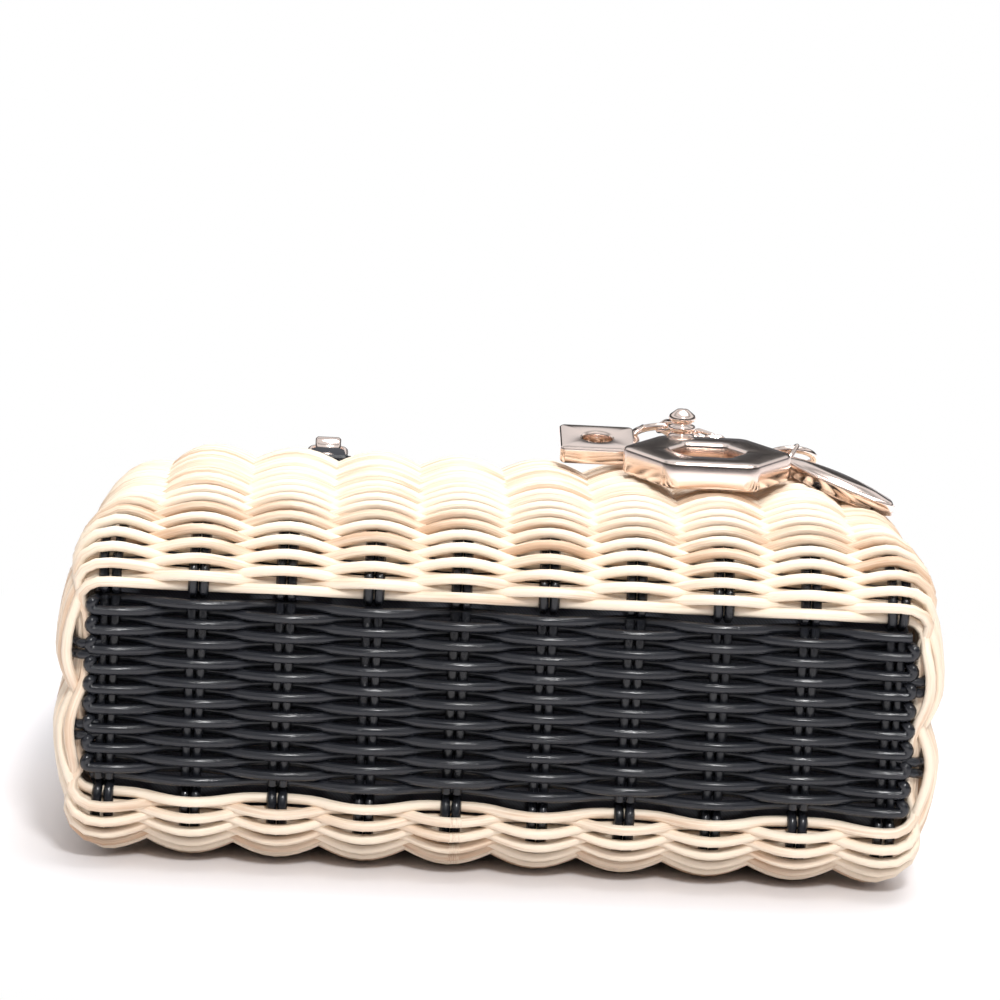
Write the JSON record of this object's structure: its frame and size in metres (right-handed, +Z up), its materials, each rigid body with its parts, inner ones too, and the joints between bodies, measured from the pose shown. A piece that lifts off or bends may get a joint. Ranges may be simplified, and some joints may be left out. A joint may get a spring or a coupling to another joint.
{
  "type": "top handle bag",
  "caption": "Small woven reed top handle bag lying on its back, dark base and upper band, leather handles on metal loops, hanging charms.",
  "frame": {"origin": "on the floor, at the middle of the box round the whole part", "axes": "the bag lies on its back: +X across its width, +Y from the woven base to the mouth and the handles, +Z up out of the front wall"},
  "size_m": [0.1694, 0.2304, 0.0813],
  "materials": {
    "reed_natural": "satin",
    "reed_dark": "satin",
    "leather_black": "smooth",
    "metal_rose_gold": "polished",
    "lining_fabric": "matte"
  },
  "bodies": {
    "bag": {"wall_weave": "reed_natural", "band_weave": "reed_dark", "rim_border": "reed_dark", "base_panel": "reed_dark", "lining_pouch": "lining_fabric", "tab_front_left": "leather_black", "tab_front_right": "leather_black", "tab_back_left": "leather_black", "tab_back_right": "leather_black", "rivets": "metal_rose_gold", "charm_staple": "metal_rose_gold"},
    "front_loops": {"loops_front": "metal_rose_gold"},
    "front_handle": {"handle_front": "leather_black", "handle_front_ferrules": "metal_rose_gold"},
    "back_loops": {"loops_back": "metal_rose_gold"},
    "back_handle": {"handle_back": "leather_black", "handle_back_ferrules": "metal_rose_gold"},
    "charm_strap": {"charm_strap": "leather_black"},
    "charms": {"charm_ring": "metal_rose_gold", "charm_ring_small": "metal_rose_gold", "charm_hexagon": "metal_rose_gold", "charm_square": "metal_rose_gold", "charm_leaf": "metal_rose_gold", "charm_bead": "metal_rose_gold", "charm_link": "metal_rose_gold"}
  },
  "joints": [
    {"name": "front_loops_swing", "type": "hinge", "parent": "bag", "child": "front_loops", "pos_m": [0, 0.03841, 0.0516], "axis": [1, 0, 0], "range_deg": [0, 45]},
    {"name": "front_handle_swing", "type": "hinge", "parent": "front_loops", "child": "front_handle", "pos_m": [0, 0.0453, 0.05282], "axis": [1, 0, 0], "range_deg": [0, 80]},
    {"name": "back_loops_swing", "type": "hinge", "parent": "bag", "child": "back_loops", "pos_m": [0, 0.03841, 0.0029], "axis": [1, 0, 0], "range_deg": [0, 7]},
    {"name": "back_handle_swing", "type": "hinge", "parent": "back_loops", "child": "back_handle", "pos_m": [0, 0.0452, 0.0046], "axis": [1, 0, 0], "range_deg": [0, 8]},
    {"name": "charm_strap_swing", "type": "hinge", "parent": "bag", "child": "charm_strap", "pos_m": [0.035, 0.02406, 0.05829], "axis": [-1, 0, 0], "range_deg": [0, 60]},
    {"name": "charms_swing", "type": "hinge", "parent": "charm_strap", "child": "charms", "pos_m": [0.033, -0.02519, 0.0689], "axis": [-1, 0, 0], "range_deg": [0, 25]}
  ]
}
